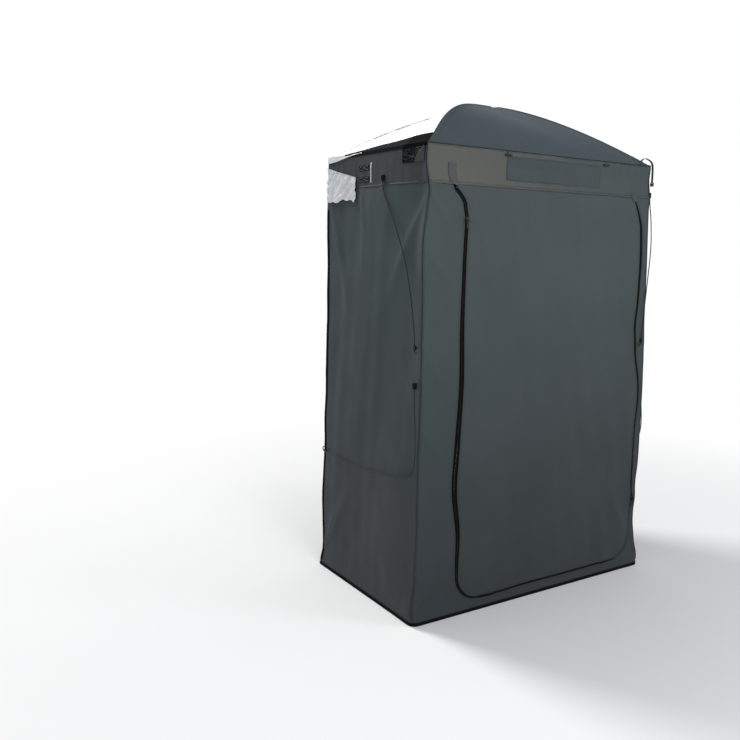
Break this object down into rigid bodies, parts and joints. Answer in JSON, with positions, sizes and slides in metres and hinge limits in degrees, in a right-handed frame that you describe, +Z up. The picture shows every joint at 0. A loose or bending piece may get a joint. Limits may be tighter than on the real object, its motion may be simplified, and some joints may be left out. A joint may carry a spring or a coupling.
{
  "type": "privacy shower tent",
  "caption": "Tall grey cloth cabin with a domed roof on crossing poles, a zipped door panel, side vents, roof apron and shock cords, open at the back for a van's rear doors.",
  "frame": {"origin": "centre of the footprint on the ground", "axes": "-Y is the door side, +Y the open side that meets the van, +X to the right seen from the door side, +Z up"},
  "size_m": [1.406, 0.8888, 2.32],
  "materials": {
    "fibreglass_pole": "drawn fibreglass with a resin gloss",
    "ferrule_metal": "brushed tube",
    "moulded_black": "moulded, fine grain",
    "silver_cloth": "silver-coated polyester, crinkled",
    "roof_grey_cloth": "coated polyester, taut",
    "band_cloth": "coated polyester",
    "wall_cloth": "coated polyester with hanging folds",
    "door_cloth": "coated polyester with hanging folds",
    "patch_cloth": "sewn bare patch",
    "zip_tape": "woven tape with a coil",
    "slider_metal": "black lacquer, worn edges",
    "vent_mesh": "fine insect mesh",
    "black_webbing": "woven webbing and hook-and-loop",
    "pale_webbing": "woven tape",
    "hem_binding": "ribbed binding tape",
    "shock_cord": "braided cover over rubber",
    "hook_plastic": "moulded"
  },
  "bodies": {
    "tent": {"hem_rod_front": "fibreglass_pole", "hem_rod_left": "fibreglass_pole", "hem_rod_right": "fibreglass_pole", "hem_elbow_left": "moulded_black", "hem_elbow_right": "moulded_black", "corner_hub_front_left": "moulded_black", "corner_hub_front_right": "moulded_black", "corner_hub_rear_left": "moulded_black", "corner_hub_rear_right": "moulded_black", "roof_pole_a": "fibreglass_pole", "roof_pole_b": "fibreglass_pole", "pole_ferrules": "ferrule_metal", "pole_tie": "moulded_black", "roof_front": "roof_grey_cloth", "roof_left": "silver_cloth", "roof_right": "silver_cloth", "roof_rear": "silver_cloth", "front_band": "band_cloth", "left_band": "band_cloth", "right_band": "band_cloth", "rear_band": "band_cloth", "front_strip_left": "wall_cloth", "front_strip_right": "wall_cloth", "front_sill": "wall_cloth", "left_wall": "wall_cloth", "right_wall": "wall_cloth", "rear_edge_left": "hem_binding", "rear_edge_right": "hem_binding", "zip_left": "zip_tape", "zip_bottom": "zip_tape", "zip_right": "zip_tape", "zip_garage": "band_cloth", "blank_patch": "patch_cloth", "vent_meshes": "vent_mesh", "strap_patches": "black_webbing", "guide_strips": "pale_webbing", "hem_front": "hem_binding", "hem_left": "hem_binding", "hem_right": "hem_binding", "cord_tabs": "black_webbing", "cord_upper_left": "shock_cord", "cord_upper_right": "shock_cord", "cord_lower_left": "shock_cord", "cord_lower_right": "shock_cord", "cord_hooks": "hook_plastic"},
    "door": {"door_panel": "door_cloth"},
    "slider_left": {"zip_slider_left": "slider_metal"},
    "slider_right": {"zip_slider_right": "slider_metal"},
    "puller_left": {"zip_puller_left": "slider_metal"},
    "puller_right": {"zip_puller_right": "slider_metal"},
    "toggle_left": {"toggle_left": "moulded_black"},
    "toggle_right": {"toggle_right": "moulded_black"},
    "vent_flap_left": {"vent_flap_left": "band_cloth"},
    "vent_flap_right": {"vent_flap_right": "band_cloth"},
    "rear_apron": {"rear_apron": "silver_cloth"},
    "side_hood_left": {"side_hood_left": "silver_cloth"},
    "side_hood_right": {"side_hood_right": "silver_cloth"}
  },
  "joints": [
    {"name": "door_lift", "type": "hinge", "parent": "tent", "child": "door", "pos_m": [0, -0.435, 1.89], "axis": [-1, 0, 0], "range_deg": [0, 100]},
    {"name": "slider_left_run", "type": "slide", "parent": "tent", "child": "slider_left", "axis": [0, 0, -1], "range_m": [0, 1.5]},
    {"name": "slider_right_run", "type": "slide", "parent": "tent", "child": "slider_right", "axis": [0, 0, 1], "range_m": [0, 1.35]},
    {"name": "puller_left_swing", "type": "hinge", "parent": "slider_left", "child": "puller_left", "pos_m": [-0.464, -0.4472, 1.74275], "axis": [-1, 0, 0], "range_deg": [0, 110]},
    {"name": "puller_right_swing", "type": "hinge", "parent": "slider_right", "child": "puller_right", "pos_m": [0.636, -0.4472, 0.3694], "axis": [-1, 0, 0], "range_deg": [0, 110]},
    {"name": "toggle_left_swing", "type": "hinge", "parent": "tent", "child": "toggle_left", "pos_m": [-0.248, -0.4374, 2.05], "axis": [-1, 0, 0], "range_deg": [0, 100]},
    {"name": "toggle_right_swing", "type": "hinge", "parent": "tent", "child": "toggle_right", "pos_m": [0.352, -0.4374, 2.05], "axis": [-1, 0, 0], "range_deg": [0, 100]},
    {"name": "vent_flap_left_open", "type": "hinge", "parent": "tent", "child": "vent_flap_left", "pos_m": [-0.67328, -0.415, 1.98982], "axis": [0.0146, 0, 0.9999], "range_deg": [0, 150]},
    {"name": "vent_flap_right_open", "type": "hinge", "parent": "tent", "child": "vent_flap_right", "pos_m": [0.67328, -0.415, 1.98982], "axis": [0.0146, 0, -0.9999], "range_deg": [0, 150]},
    {"name": "rear_apron_lift", "type": "hinge", "parent": "tent", "child": "rear_apron", "pos_m": [0, 0.4384, 2.0496], "axis": [1, 0, 0], "range_deg": [0, 110]},
    {"name": "side_hood_left_lift", "type": "hinge", "parent": "tent", "child": "side_hood_left", "pos_m": [-0.67446, 0.3, 1.97784], "axis": [0, 1, 0], "range_deg": [0, 100]},
    {"name": "side_hood_right_lift", "type": "hinge", "parent": "tent", "child": "side_hood_right", "pos_m": [0.67446, 0.3, 1.97784], "axis": [0, -1, 0], "range_deg": [0, 100]}
  ]
}
